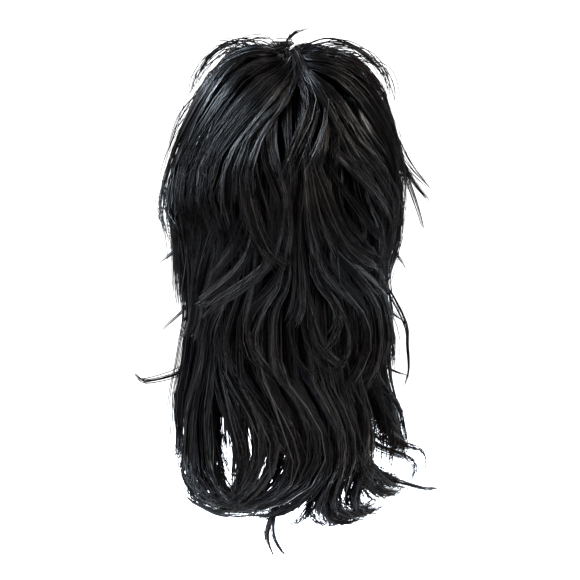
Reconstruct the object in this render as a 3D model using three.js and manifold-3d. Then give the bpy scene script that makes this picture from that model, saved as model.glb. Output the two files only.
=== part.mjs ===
// A shaggy layered wig: a stretch-net cap, and rows of hair sewn on it one below another.
// Each row is a weft strip with tapered locks, and lies over the row below it as shingles do.
// Units are millimetres. +X is the wearer's right, +Y the way the face looks, +Z up.
// The origin is inside the cap's crown, where the top of the head bears.
//
// Every lock is laid out in hair coordinates, which place() turns into a point:
//   angle  degrees round the head from the middle of the back, positive to the wearer's right
//   run    distance from the crown down the back of the head, and on down the hanging hair
//   depth  0 on the cap or the neck, 1 on the hair's outer outline
import * as THREE from "three";
import { mergeVertices } from "three/addons/utils/BufferGeometryUtils.js";
import Module from "manifold-3d";

const wasm = await Module();
wasm.setup();

// Driving sizes: the head that the cap fits, as half an ellipsoid's axes, and the cap on it
const HEAD = { breadth: 78, length: 98, height: 95 };
const CAP_WALL = 1.6;
const SEAT_GAP = 0.5;
const BAND_GAP = 0.4;

// Where the cap ends, as degrees down the head from the crown, for degrees round from the back
const CAP_EDGE = [
  { angle: 0, down: 134 },
  { angle: 55, down: 129 },
  { angle: 78, down: 108 },
  { angle: 92, down: 99 },
  { angle: 108, down: 110 },
  { angle: 122, down: 100 },
  { angle: 135, down: 76 },
  { angle: 155, down: 66 },
  { angle: 180, down: 64 },
];
const CAP_SIDES = 32;
const CAP_RINGS = 7;
const CAP_FIRST_RING = 0.05;

// The neck and shoulders that the hanging hair keeps clear of
const NECK = [
  { run: 266, z: -212, left: 57, right: 57, back: 66, front: 74 },
  { run: 306, z: -268, left: 64, right: 64, back: 70, front: 72 },
  { run: 346, z: -316, left: 78, right: 78, back: 82, front: 76 },
  { run: 386, z: -362, left: 80, right: 84, back: 92, front: 80 },
  { run: 421, z: -400, left: 76, right: 86, back: 98, front: 82 },
  { run: 446, z: -428, left: 64, right: 72, back: 103, front: 80 },
  { run: 500, z: -478, left: 26, right: 30, back: 108, front: 70 },
];

// The hair's outer outline: half widths to either side, and depths to the back and front
const OUTLINE = [
  { run: 0, z: 24, left: 0, right: 0, back: 0, front: 0 },
  { run: 26, z: 21, left: 42, right: 46, back: 50, front: 50 },
  { run: 51, z: 9, left: 62, right: 68, back: 80, front: 78 },
  { run: 77, z: -14, left: 82, right: 92, back: 106, front: 100 },
  { run: 103, z: -43, left: 95, right: 102, back: 124, front: 114 },
  { run: 128, z: -77, left: 109, right: 112, back: 136, front: 122 },
  { run: 154, z: -112, left: 119, right: 121, back: 143, front: 126 },
  { run: 180, z: -146, left: 126, right: 126, back: 144, front: 124 },
  { run: 205, z: -180, left: 121, right: 122, back: 140, front: 118 },
  { run: 231, z: -214, left: 118, right: 111, back: 133, front: 110 },
  { run: 266, z: -250, left: 114, right: 115, back: 125, front: 102 },
  { run: 306, z: -290, left: 116, right: 114, back: 119, front: 98 },
  { run: 346, z: -330, left: 118, right: 116, back: 117, front: 96 },
  { run: 386, z: -370, left: 115, right: 123, back: 119, front: 96 },
  { run: 421, z: -405, left: 112, right: 125, back: 122, front: 96 },
  { run: 446, z: -430, left: 100, right: 110, back: 124, front: 92 },
  { run: 500, z: -478, left: 50, right: 56, back: 122, front: 80 },
];

// The rows of hair, from the innermost out. Rows of one stack share the hair's depth between them.
//   root             where the weft is sewn, as a run
//   short, long      where the locks end, as runs
//   from, to         the angles that the weft covers
//   locks            how many locks it carries
//   fan, swing       the angle of a tip is fan times that of its root, plus swing
//   wave             how far a lock bends to and fro, in degrees
//   lift             how far its tips stand off the outline
//   parted           the share of their length at which the locks part
const ROWS = [
  { name: "nape_left", stack: "back", root: 198, short: 425, long: 462, from: -101.5, to: -36,
    locks: 4, fan: 0.94, swing: 0, wave: 5, lift: 2, parted: 0.84 },
  { name: "nape_center", stack: "back", root: 198, short: 432, long: 470, from: -34, to: 34,
    locks: 4, fan: 0.9, swing: 2, wave: 6, lift: 2, parted: 0.84 },
  { name: "nape_right", stack: "back", root: 198, short: 420, long: 460, from: 36, to: 101.5,
    locks: 4, fan: 0.98, swing: 2, wave: 6, lift: 4, parted: 0.82 },
  { name: "lower_back_layer", stack: "back", root: 158, short: 325, long: 378, from: -101.5, to: 101.5,
    locks: 10, fan: 0.98, swing: 1, wave: 4, lift: 3, parted: 0.66 },
  { name: "middle_back_layer", stack: "back", root: 112, short: 262, long: 318, from: -101.5, to: 101.5,
    locks: 10, fan: 1, swing: 0, wave: 4, lift: 3, parted: 0.72 },
  { name: "upper_back_layer", stack: "back", root: 62, short: 205, long: 258, from: -101.5, to: 101.5,
    locks: 10, fan: 1.02, swing: 3, wave: 3, lift: 3, parted: 0.66 },
  { name: "crown_layer", stack: "back", root: 2, short: 140, long: 208, from: -101.5, to: 101.5,
    locks: 12, fan: 1, swing: -2, wave: 3, lift: 3, parted: 0.66 },
  { name: "left_side_layer", stack: "front", root: 84, short: 235, long: 300, from: -148, to: -102.5,
    locks: 4, fan: 0.9, swing: -2, wave: 1.5, lift: 3, parted: 0.66 },
  { name: "right_side_layer", stack: "front", root: 84, short: 238, long: 300, from: 102.5, to: 148,
    locks: 4, fan: 0.9, swing: 2, wave: 1.5, lift: 3, parted: 0.66 },
  { name: "fringe", stack: "front", root: 2, short: 132, long: 172, from: 102.5, to: 257.5,
    locks: 10, fan: 1, swing: 0, wave: 3, lift: 4, parted: 0.66 },
];

// A row takes up its share of the depth round its root, and gives it up past its longest tip
const STACK_RISE = { before: 16, after: 48 };
const STACK_FALL = 34;

// One lock: its steps from the weft at its root to its tip, and its section from notch to notch.
//   across  -1 and 1 at the notches beside the lock, 0 on its ridge
//   full    the share of the row's depth that the lock fills
//   reach   0 to end at the notch, 1 to end at the tip
const LOCK_SHARES = [0, 0.05, 0.24, 0.43, 0.62, 0.82, 1];
const LONGEST_STEP = 0.2;
const LOCK_SECTION = [
  { across: -1, full: 0.42, reach: 0 },
  { across: -0.45, full: 0.9, reach: 0.66 },
  { across: 0.1, full: 1, reach: 1 },
  { across: 0.6, full: 0.86, reach: 0.55 },
];

// How locks differ: sideways drift near the row's ends, uneven width, parting and thickness
const EDGE_CALM = 0.35;
const UNEVEN = 0.35;
const PARTED_VARIES = 0.28;
const THIN_VARIES = 0.2;

// How a lock ends: its share of thickness at the tip, how close to the outline that lies, and from where
const TIP_SHARE = 0.08;
const TIP_HUG = 0.8;
const TIP_THINS_FROM = 0.3;
const TIP_LIFTS_FROM = 0.6;

// Room under a lock below its weft, and the least that it is thick
const LOCK_CLEAR = 2.2;
const LOCK_LEAST = 0.8;

// Single locks that leave the outline: flicked ends, curls, hooks, and wisps at the crown.
// A place with no lift lies in the middle of its row, and one with a lift stands off the outline.
const FLICKS = [
  { row: "crown_layer", wide: 12, path: [
    { angle: 74, run: 88 }, { angle: 86, run: 140, lift: 2 }, { angle: 95, run: 156, lift: 28 }] },
  { row: "crown_layer", wide: 10, path: [
    { angle: 62, run: 88 }, { angle: 77, run: 146, lift: 2 }, { angle: 88, run: 166, lift: 22 }] },
  { row: "crown_layer", wide: 9, path: [
    { angle: 82, run: 90 }, { angle: 90, run: 165, lift: 1 }, { angle: 93, run: 190, lift: 16 }] },
  { row: "crown_layer", wide: 8, path: [
    { angle: -6, run: 16 }, { angle: -22, run: 44, lift: 11 }, { angle: -50, run: 58, lift: 9 },
    { angle: -72, run: 100, lift: 4 }] },
  { row: "crown_layer", wide: 8, path: [
    { angle: -40, run: 26 }, { angle: -54, run: 44, lift: 7 }, { angle: -70, run: 54, lift: 22 }] },
  { row: "crown_layer", wide: 9, path: [
    { angle: -12, run: 18 }, { angle: 10, run: 14, lift: 5 }, { angle: 62, run: 9, lift: 13 }] },
  { row: "crown_layer", wide: 9, path: [
    { angle: 34, run: 26 }, { angle: 50, run: 62, lift: 7 }, { angle: 72, run: 98, lift: 7 }] },
  { row: "upper_back_layer", wide: 9, path: [
    { angle: 82, run: 150 }, { angle: 86, run: 208 }, { angle: 90, run: 220, lift: 8 }] },
  { row: "upper_back_layer", wide: 7, path: [
    { angle: -84, run: 150 }, { angle: -89, run: 208 }, { angle: -92, run: 214, lift: 14 }] },
  { row: "middle_back_layer", wide: 9, path: [
    { angle: 76, run: 205 }, { angle: 80, run: 258 }, { angle: 84, run: 268, lift: 14 }] },
  { row: "middle_back_layer", wide: 8, path: [
    { angle: -78, run: 205 }, { angle: -82, run: 258 }, { angle: -85, run: 273, lift: 15 }] },
  { row: "lower_back_layer", wide: 10, path: [
    { angle: 82, run: 262 }, { angle: 86, run: 316 }, { angle: 90, run: 324, lift: 14 }] },
  { row: "lower_back_layer", wide: 11, path: [
    { angle: 62, run: 262 }, { angle: 66, run: 328 }, { angle: 75, run: 354, lift: 11 },
    { angle: 72, run: 388, lift: 14 }] },
  { row: "lower_back_layer", wide: 10, path: [
    { angle: -70, run: 262 }, { angle: -79, run: 318 }, { angle: -84, run: 322, lift: 22 },
    { angle: -88, run: 308, lift: 40 }] },
  { row: "nape_right", wide: 11, path: [
    { angle: 54, run: 325 }, { angle: 57, run: 384 }, { angle: 66, run: 400, lift: 10 },
    { angle: 62, run: 424, lift: 14 }] },
  { row: "nape_right", wide: 10, path: [
    { angle: 64, run: 325 }, { angle: 66, run: 384 }, { angle: 74, run: 394, lift: 16 },
    { angle: 70, run: 422, lift: 18 }] },
  { row: "nape_right", wide: 11, path: [
    { angle: 46, run: 325 }, { angle: 50, run: 402 }, { angle: 62, run: 424, lift: 18 },
    { angle: 70, run: 424, lift: 40 }] },
  { row: "nape_center", wide: 11, path: [
    { angle: 17, run: 325 }, { angle: 19, run: 408 }, { angle: 18, run: 440, lift: 8 },
    { angle: 30, run: 450, lift: 8 }, { angle: 42, run: 446, lift: 8 }] },
  { row: "nape_center", wide: 9, path: [
    { angle: -6, run: 325 }, { angle: -6, run: 430 }, { angle: -5, run: 478, lift: 10 }] },
  { row: "nape_center", wide: 8, path: [
    { angle: 7, run: 325 }, { angle: 6, run: 430 }, { angle: 4, run: 486, lift: 14 }] },
  { row: "nape_left", wide: 12, path: [
    { angle: -66, run: 325 }, { angle: -72, run: 396 }, { angle: -66, run: 426, lift: 14 },
    { angle: -50, run: 438, lift: 18 }, { angle: -32, run: 440, lift: 16 }, { angle: -9, run: 432, lift: 12 }] },
];
const FLICK_STEPS = 8;
const FLICK_FLATNESS = 0.4;
const FLICK_TIP = 0.12;

// Steps of the sequence that tells locks apart, and the uses that it has
const GOLDEN = 0.618034;
const SILVER = 0.414214;
const USE = { shift: 1, end: 2, wave: 3, lift: 4, thin: 5, parted: 6, aside: 7 };

const HAIR_COLOUR = 0x0c0c0e;
const CAP_COLOUR = 0x141416;

const rad = THREE.MathUtils.degToRad;
const mix = THREE.MathUtils.lerp;
const smooth = (low, high, x) => THREE.MathUtils.smoothstep(x, low, high);
const clamp = THREE.MathUtils.clamp;

// A number from 0 to 1 that differs from lock to lock and from use to use, and never changes
function vary(lock, use) {
  const value = (lock + 1) * GOLDEN + use * SILVER;
  return value - Math.floor(value);
}

// A column of a table at any place between its rows, on a smooth curve through them
function sample(rows, key, column, at) {
  let i = 0;
  while (i < rows.length - 2 && at > rows[i + 1][key]) i++;
  const before = rows[Math.max(i - 1, 0)];
  const start = rows[i];
  const end = rows[i + 1];
  const after = rows[Math.min(i + 2, rows.length - 1)];
  const span = end[key] - start[key];
  const t = clamp((at - start[key]) / span, 0, 1);
  const leave = (span * (end[column] - before[column])) / (end[key] - before[key]);
  const arrive = (span * (after[column] - start[column])) / (after[key] - start[key]);
  const rise = end[column] - start[column];
  return start[column] + t * (leave + t * (3 * rise - 2 * leave - arrive + t * (leave + arrive - 2 * rise)));
}

// A point of an oval ring of the head or the hair, at an angle from the middle of the back
function ringPoint(ring, angle) {
  const sine = Math.sin(rad(angle));
  const cosine = Math.cos(rad(angle));
  const width = sine > 0 ? ring.right : ring.left;
  const reach = cosine > 0 ? ring.back : ring.front;
  return new THREE.Vector3(width * sine, -reach * cosine, ring.z);
}

// The ring of a table at any run
function ringAt(rows, run) {
  const column = (name) => sample(rows, "run", name, run);
  return {
    z: column("z"),
    left: column("left"),
    right: column("right"),
    back: column("back"),
    front: column("front"),
  };
}

// The head's own ring at some degrees down from the crown, grown by a wall or a gap
function headRow(down, grown) {
  const breadth = (HEAD.breadth + grown) * Math.sin(rad(down));
  const length = (HEAD.length + grown) * Math.sin(rad(down));
  return {
    run: HEAD.length * rad(down),
    z: (HEAD.height + grown) * Math.cos(rad(down)) - HEAD.height,
    left: breadth,
    right: breadth,
    back: length,
    front: length,
  };
}

const HEAD_STEP_DEG = 7.5;
const NAPE_DEG = 135;
const BODY = [];
for (let down = 0; down <= NAPE_DEG; down += HEAD_STEP_DEG) BODY.push(headRow(down, CAP_WALL + SEAT_GAP));
BODY.push(...NECK);

// Hair coordinates to a point, moved out from the outline by a lift
function place(angle, run, depth, lift = 0) {
  const inner = ringPoint(ringAt(BODY, run), angle);
  const outer = ringPoint(ringAt(OUTLINE, run), angle);
  const out = outer.clone().sub(inner).normalize();
  return inner.lerp(outer, depth).addScaledVector(out, lift);
}

function hairDepth(angle, run) {
  return place(angle, run, 0).distanceTo(place(angle, run, 1));
}

// How much of the hair's depth a row takes at a run, beside the other rows of its stack
function rowWeight(row, run) {
  const started = smooth(row.root - STACK_RISE.before, row.root + STACK_RISE.after, run);
  const ended = smooth(row.long, row.long + STACK_FALL, run);
  return started * (1 - ended);
}

// The inner and outer depth of a row at a run. Rows of one root, side by side, count once.
function rowBand(row, run) {
  const levels = new Map();
  for (const other of ROWS) {
    if (other.stack === row.stack) levels.set(other.root, rowWeight(other, run));
  }
  let total = 0;
  let below = 0;
  for (const [root, weight] of levels) {
    total += weight;
    if (root > row.root) below += weight;
  }
  return { inner: below / total, outer: (below + levels.get(row.root)) / total };
}

// The depths that stay inside a row's band over a whole step of a line, and not only at its middle
function calmBand(row, run, step) {
  const bands = [-0.5, 0, 0.5].map((part) => rowBand(row, Math.max(run + part * step, 0)));
  return {
    inner: Math.max(...bands.map((band) => band.inner)),
    outer: Math.min(...bands.map((band) => band.outer)),
  };
}

// Two triangles for a quad's four corners, split along the shorter diagonal of the quad that it is like
function split(points, corners, like = corners) {
  const [a, b, c, d] = corners;
  const [e, f, g, h] = like.map((corner) => points[corner]);
  return e.distanceTo(g) < f.distanceTo(h) ? [a, b, c, a, c, d] : [a, b, d, b, c, d];
}

// A geometry from its points and the corners of its triangles
function geometryFrom(points, faces) {
  const geometry = new THREE.BufferGeometry();
  const positions = points.flatMap((point) => [point.x, point.y, point.z]);
  geometry.setAttribute("position", new THREE.Float32BufferAttribute(positions, 3));
  geometry.setIndex(faces);
  return geometry;
}

// A closed solid through a list of rings of points, with flat ends
function loft(rings) {
  const sides = rings[0].length;
  const points = rings.flat();
  const faces = [];
  for (let ring = 0; ring < rings.length - 1; ring++) {
    for (let side = 0; side < sides; side++) {
      const next = (side + 1) % sides;
      const [a, b] = [ring * sides + side, ring * sides + next];
      faces.push(...split(points, [a, b, b + sides, a + sides]));
    }
  }
  const last = (rings.length - 1) * sides;
  for (let side = 1; side < sides - 1; side++) {
    faces.push(0, side + 1, side);
    faces.push(last, last + side, last + side + 1);
  }
  return geometryFrom(points, faces);
}

// A geometry as a solid that can be joined, turned outside out where its rings ran the other way
function solid(geometry) {
  const merged = mergeVertices(geometry, 1e-4);
  const triVerts = new Uint32Array(merged.index.array);
  const build = () =>
    new wasm.Manifold(
      new wasm.Mesh({ numProp: 3, vertProperties: merged.attributes.position.array, triVerts }),
    );
  const first = build();
  if (first.volume() > 0) return first;
  for (let i = 0; i < triVerts.length; i += 3) {
    [triVerts[i + 1], triVerts[i + 2]] = [triVerts[i + 2], triVerts[i + 1]];
  }
  return build();
}

// Solids joined into one body, with the pockets between them filled
function joined(bodies) {
  const whole = bodies.reduce((sum, body) => sum.add(body));
  return whole.decompose().reduce((largest, body) => (body.volume() > largest.volume() ? body : largest));
}

function geometryOf(body) {
  const mesh = body.getMesh();
  const geometry = new THREE.BufferGeometry();
  geometry.setAttribute("position", new THREE.BufferAttribute(mesh.vertProperties, 3));
  geometry.setIndex(new THREE.BufferAttribute(mesh.triVerts, 1));
  geometry.computeVertexNormals();
  return geometry;
}

// The line and size of one lock of a row: where its ridge starts and ends, and how it bends on the way
function rowLock(row, index) {
  const pitch = (row.to - row.from) / row.locks;
  const root = row.from + (index + 0.5) * pitch;
  const middle = 0.5 * (row.from + row.to);
  return {
    shift: (root - middle) * (row.fan - 1) + row.swing + (vary(index, USE.shift) - 0.5) * pitch * 0.5,
    end: mix(row.short, row.long, vary(index, USE.end)),
    wave: row.wave * (vary(index, USE.wave) - 0.5) * 2,
    lift: row.lift * vary(index, USE.lift),
    thin: THIN_VARIES * vary(index, USE.thin),
    parted: row.parted + PARTED_VARIES * (vary(index, USE.parted) - 0.5),
    aside: index > 0 ? UNEVEN * (vary(index, USE.aside) - 0.5) * pitch : 0,
  };
}

// A line of the row's sheet, from root to tip: part of the way from a lock's ridge to a notch
function sheetLine(row, locks, index, section) {
  const lock = locks[index];
  const beside = locks[clamp(index + Math.sign(section.across), 0, locks.length - 1)];
  const toward = 0.5 * Math.abs(section.across);
  const between = (name) => mix(lock[name], beside[name], toward);
  const pitch = (row.to - row.from) / row.locks;
  const starts = row.from + index * pitch + lock.aside;
  const ends = row.from + (index + 1) * pitch + (locks[index + 1]?.aside ?? 0);
  const parted = section.across > 0 ? (locks[index + 1] ?? lock).parted : lock.parted;
  const notch = mix(row.root, Math.min(lock.end, beside.end), parted);
  return {
    root: mix(starts, ends, 0.5 + 0.5 * section.across),
    shift: between("shift"),
    wave: between("wave"),
    lift: between("lift"),
    full: section.full * (1 - between("thin")),
    end: mix(notch, lock.end, section.reach),
  };
}

// A row as one closed sheet: ridged locks that are one at the weft and part at their notches
function rowSheet(row) {
  const locks = [];
  for (let index = 0; index < row.locks; index++) locks.push(rowLock(row, index));
  const lines = [];
  locks.forEach((_, index) => {
    for (const section of LOCK_SECTION) lines.push(sheetLine(row, locks, index, section));
  });
  const [firstNotch] = LOCK_SECTION;
  lines.push(sheetLine(row, locks, locks.length - 1, { ...firstNotch, across: 1 }));

  const inside = [];
  const outside = [];
  for (const line of lines) {
    const insideLine = [];
    const outsideLine = [];
    for (const share of LOCK_SHARES) {
      const run = mix(row.root, line.end, share);
      const edge = EDGE_CALM * Math.min(line.root - row.from, row.to - line.root);
      const wanted = line.shift * share * share + line.wave * Math.sin(2 * Math.PI * share);
      const angle = line.root + clamp(wanted, -edge, edge);
      const total = hairDepth(angle, run);
      const band = calmBand(row, run, LONGEST_STEP * (line.end - row.root));
      const low = band.inner + (share > 0 ? LOCK_CLEAR / total : 0);
      const high = Math.max(band.outer - BAND_GAP / total, low + LOCK_LEAST / total);
      const full = mix(line.full, TIP_SHARE, share ** 3);
      const hollow = TIP_HUG * (1 - full) * smooth(TIP_THINS_FROM, 1, share);
      const lift = line.lift * smooth(TIP_LIFTS_FROM, 1, share);
      insideLine.push(place(angle, run, mix(low, high, hollow), lift));
      outsideLine.push(place(angle, run, mix(low, high, hollow + full), lift));
    }
    inside.push(insideLine);
    outside.push(outsideLine);
  }
  return wall(outside, inside);
}

// A closed wall between two grids of points of the same size
function wall(front, back) {
  const across = front.length;
  const along = front[0].length;
  const points = [...front.flat(), ...back.flat()];
  const faces = [];
  const quad = (corners, like) => faces.push(...split(points, corners, like));
  const at = (side, i, j) => side * across * along + i * along + j;
  for (let i = 0; i < across - 1; i++) {
    for (let j = 0; j < along - 1; j++) {
      const cell = (side) => [at(side, i, j), at(side, i, j + 1), at(side, i + 1, j + 1), at(side, i + 1, j)];
      quad(cell(0));
      quad(cell(1).reverse(), cell(0).reverse());
    }
    quad([at(0, i, 0), at(0, i + 1, 0), at(1, i + 1, 0), at(1, i, 0)]);
    quad([at(0, i, along - 1), at(1, i, along - 1), at(1, i + 1, along - 1), at(0, i + 1, along - 1)]);
  }
  for (let j = 0; j < along - 1; j++) {
    quad([at(0, 0, j), at(1, 0, j), at(1, 0, j + 1), at(0, 0, j + 1)]);
    quad([at(0, across - 1, j), at(0, across - 1, j + 1), at(1, across - 1, j + 1), at(1, across - 1, j)]);
  }
  return geometryFrom(points, faces);
}

// One flick: a flat tapered sweep along its path, turned to face out from the head
function flickSolid(flick) {
  const row = ROWS.find((entry) => entry.name === flick.row);
  const places = flick.path.map(({ angle, run, lift }) => {
    if (lift !== undefined) return place(angle, run, 1, lift);
    const band = rowBand(row, run);
    return place(angle, run, 0.5 * (band.inner + band.outer));
  });
  const curve = new THREE.CatmullRomCurve3(places);
  const rings = [];
  for (let step = 0; step <= FLICK_STEPS; step++) {
    const share = step / FLICK_STEPS;
    const point = curve.getPoint(share);
    const tangent = curve.getTangent(share);
    const out = point.clone().sub(new THREE.Vector3(0, 0, Math.min(point.z, -HEAD.height)));
    const side = tangent.clone().cross(out).normalize();
    const face = side.clone().cross(tangent);
    const half = 0.5 * flick.wide * mix(1, FLICK_TIP, share ** 2);
    const corner = (across, proud) =>
      point.clone().addScaledVector(side, across * half).addScaledVector(face, proud * half * FLICK_FLATNESS);
    rings.push([corner(1, 0), corner(0, 1), corner(-1, 0), corner(0, -1)]);
  }
  return solid(loft(rings));
}

// The net cap: a dome of even wall, cut away over the face, the ears and the nape
function capSolid() {
  const edge = (angle) => sample(CAP_EDGE, "angle", "down", Math.min(angle, 360 - angle));
  const dome = (grown) => {
    const rings = [];
    for (let step = 0; step <= CAP_RINGS; step++) {
      const points = [];
      for (let side = 0; side < CAP_SIDES; side++) {
        const angle = (360 * side) / CAP_SIDES;
        const down = edge(angle) * mix(CAP_FIRST_RING, 1, step / CAP_RINGS);
        points.push(ringPoint(headRow(down, grown), angle));
      }
      rings.push(points);
    }
    return rings;
  };
  return solid(loft([...dome(CAP_WALL), ...dome(0).reverse()]));
}

const wig = new THREE.Group();
function add(name, geometry, colour, roughness) {
  const material = new THREE.MeshStandardMaterial({ color: colour, roughness, metalness: 0 });
  const mesh = new THREE.Mesh(geometry, material);
  mesh.name = name;
  wig.add(mesh);
}

add("cap", geometryOf(capSolid()), CAP_COLOUR, 0.8);
for (const row of ROWS) {
  const flicks = FLICKS.filter((flick) => flick.row === row.name).map(flickSolid);
  add(row.name, geometryOf(joined([solid(rowSheet(row)), ...flicks])), HAIR_COLOUR, 0.45);
}

export default wig;
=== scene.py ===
"""The look of a shaggy layered wig: strands on every row of hair, a net cap, and a pale studio."""
import logging
import math
from dataclasses import dataclass
from enum import Enum
from typing import Iterable, Sequence

import bmesh
import bpy
import numpy as np
from bpy.types import Material, Object
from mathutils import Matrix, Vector


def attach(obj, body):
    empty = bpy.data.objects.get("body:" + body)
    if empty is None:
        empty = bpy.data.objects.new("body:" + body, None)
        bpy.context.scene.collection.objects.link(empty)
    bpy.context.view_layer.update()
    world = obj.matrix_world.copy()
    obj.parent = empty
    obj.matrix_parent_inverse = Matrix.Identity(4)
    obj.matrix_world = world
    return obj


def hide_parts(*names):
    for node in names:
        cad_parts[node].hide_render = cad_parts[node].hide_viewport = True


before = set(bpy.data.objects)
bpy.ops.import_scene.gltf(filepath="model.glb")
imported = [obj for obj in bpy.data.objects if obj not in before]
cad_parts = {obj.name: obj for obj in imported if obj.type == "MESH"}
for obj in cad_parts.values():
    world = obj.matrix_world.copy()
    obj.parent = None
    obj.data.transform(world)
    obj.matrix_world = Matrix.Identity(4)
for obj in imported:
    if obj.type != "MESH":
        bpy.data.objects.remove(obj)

Array = np.ndarray
Span = tuple[float, float]
Triple = tuple[float, float, float]
Colour = tuple[float, float, float, float]

log = logging.getLogger("wig")
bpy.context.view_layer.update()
BODY = "root"
MM = 0.001
TURN = 2 * math.pi

# The head that the cap fits, as an ellipsoid's half axes, and the cap on it, in millimetres and degrees
HEAD_BREADTH = 78.0
HEAD_LENGTH = 98.0
HEAD_HEIGHT = 95.0
CAP_WALL = 1.6
SEAT_GAP = 0.5
HEAD_STEP_DEG = 7.5
NAPE_DEG = 135.0
LAST_RUN = 500


@dataclass(frozen=True)
class Ring:
    """One level of a form: its place along the hair, its height and its reach to four sides, in mm."""

    run: float
    z: float
    left: float
    right: float
    back: float
    front: float


# The space for a neck and shoulders that the hanging hair keeps clear of
NECK = (
    Ring(266, -212, 57, 57, 66, 74),
    Ring(306, -268, 64, 64, 70, 72),
    Ring(346, -316, 78, 78, 82, 76),
    Ring(386, -362, 80, 84, 92, 80),
    Ring(421, -400, 76, 86, 98, 82),
    Ring(446, -428, 64, 72, 103, 80),
    Ring(500, -478, 26, 30, 108, 70),
)

# The hair's outer outline
OUTLINE = (
    Ring(0, 24, 0, 0, 0, 0),
    Ring(26, 21, 42, 46, 50, 50),
    Ring(51, 9, 62, 68, 80, 78),
    Ring(77, -14, 82, 92, 106, 100),
    Ring(103, -43, 95, 102, 124, 114),
    Ring(128, -77, 109, 112, 136, 122),
    Ring(154, -112, 119, 121, 143, 126),
    Ring(180, -146, 126, 126, 144, 124),
    Ring(205, -180, 121, 122, 140, 118),
    Ring(231, -214, 118, 111, 133, 110),
    Ring(266, -250, 114, 115, 125, 102),
    Ring(306, -290, 116, 114, 119, 98),
    Ring(346, -330, 118, 116, 117, 96),
    Ring(386, -370, 115, 123, 119, 96),
    Ring(421, -405, 112, 125, 122, 96),
    Ring(446, -430, 100, 110, 124, 92),
    Ring(500, -478, 50, 56, 122, 80),
)

# Where the cap ends, as degrees down the head from the crown, for degrees round from the back
CAP_EDGE = ((0, 134), (55, 129), (78, 108), (92, 99), (108, 110), (122, 100), (135, 76),
            (155, 66), (180, 64))


class Stack(Enum):
    """The rows that share the hair's depth between them."""

    BACK = "back"
    FRONT = "front"


@dataclass(frozen=True)
class Row:
    """One row of hair: where it is sewn, where it ends, and how many strands it has.

    Runs are in mm along the hair from the crown, and angles in degrees round from the back.
    clump draws its wisps to its guides, half is a wisp's half width in mm, wave its bends in mm,
    lift how far its ends stand up in mm, rise the depth of its roots, and even how alike its wisps
    shine; even is higher on the upper rows, as painted light for the softer light that falls there.
    ends counts the guides past the drawn ones on each side, calm is how much of the nearest
    guide's turn they have, and trim how much shorter they are for each degree away from it.
    """

    node: str
    root: float
    short: float
    long: float
    start: float
    end: float
    wisps: int
    strands: int
    points: int
    stack: Stack = Stack.BACK
    clump: float = 0.0
    half: float = 6.0
    wave: float = 4.0
    lift: float = 3.0
    rise: float = 0.1
    even: float = 0.0
    calm: float = 1.0
    ends: int = 1
    trim: float = 0.0


ROWS = (
    Row("nape_left", 198, 425, 462, -101.5, -36, 44, 22, 13,
        clump=0.6, half=5.5, wave=6.0, calm=0.3, ends=2, trim=0.006),
    Row("nape_center", 198, 432, 470, -34, 34, 48, 24, 13, clump=0.5, half=5.5, wave=6.0),
    Row("nape_right", 198, 420, 460, 36, 101.5, 44, 22, 13,
        clump=0.6, half=5.5, wave=6.0, calm=0.3, ends=2, trim=0.008),
    Row("lower_back_layer", 158, 325, 378, -101.5, 101.5, 62, 20, 11, clump=0.35, wave=5.0),
    Row("middle_back_layer", 112, 262, 318, -101.5, 101.5, 62, 20, 11, clump=0.35, even=0.1),
    Row("upper_back_layer", 62, 205, 258, -101.5, 101.5, 62, 20, 10, clump=0.3, wave=3.0, even=0.4),
    Row("crown_layer", 2, 140, 208, -101.5, 101.5, 72, 22, 10,
        clump=0.3, half=6.5, wave=2.0, rise=0.5, even=0.5),
    Row("left_side_layer", 84, 235, 300, -148, -102.5, 16, 26, 9, stack=Stack.FRONT, lift=4.0),
    Row("right_side_layer", 84, 238, 300, 102.5, 148, 16, 26, 9, stack=Stack.FRONT, lift=4.0),
    Row("fringe", 2, 132, 172, 102.5, 257.5, 58, 24, 8, stack=Stack.FRONT, lift=4.0, rise=0.5),
)

# The groove along the parting: its share of the hair's depth, where its sides begin and end in
# degrees, and where its ends do in mm of run
PARTING_DEPTH = 0.4
PARTING_HALF = (4.0, 34.0)
PARTING_END = (30.0, 90.0)

# How a row's share of the depth starts before and after its weft, and how it ends past its tips,
# in mm of run
STACK_RISE = (16.0, 48.0)
STACK_FALL = 34.0


@dataclass(frozen=True)
class Flick:
    """A lock that leaves the outline, along places given as angle, run and lift off the outline.

    A place with no lift is in the middle of its row, and one with a lift below 0 is under the outline.
    wide is the lock's width, and loose how far its strands part, in mm.
    """

    wide: float
    path: tuple[Span | Triple, ...]
    loose: float = 0.8
    strands: int = 10


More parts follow.
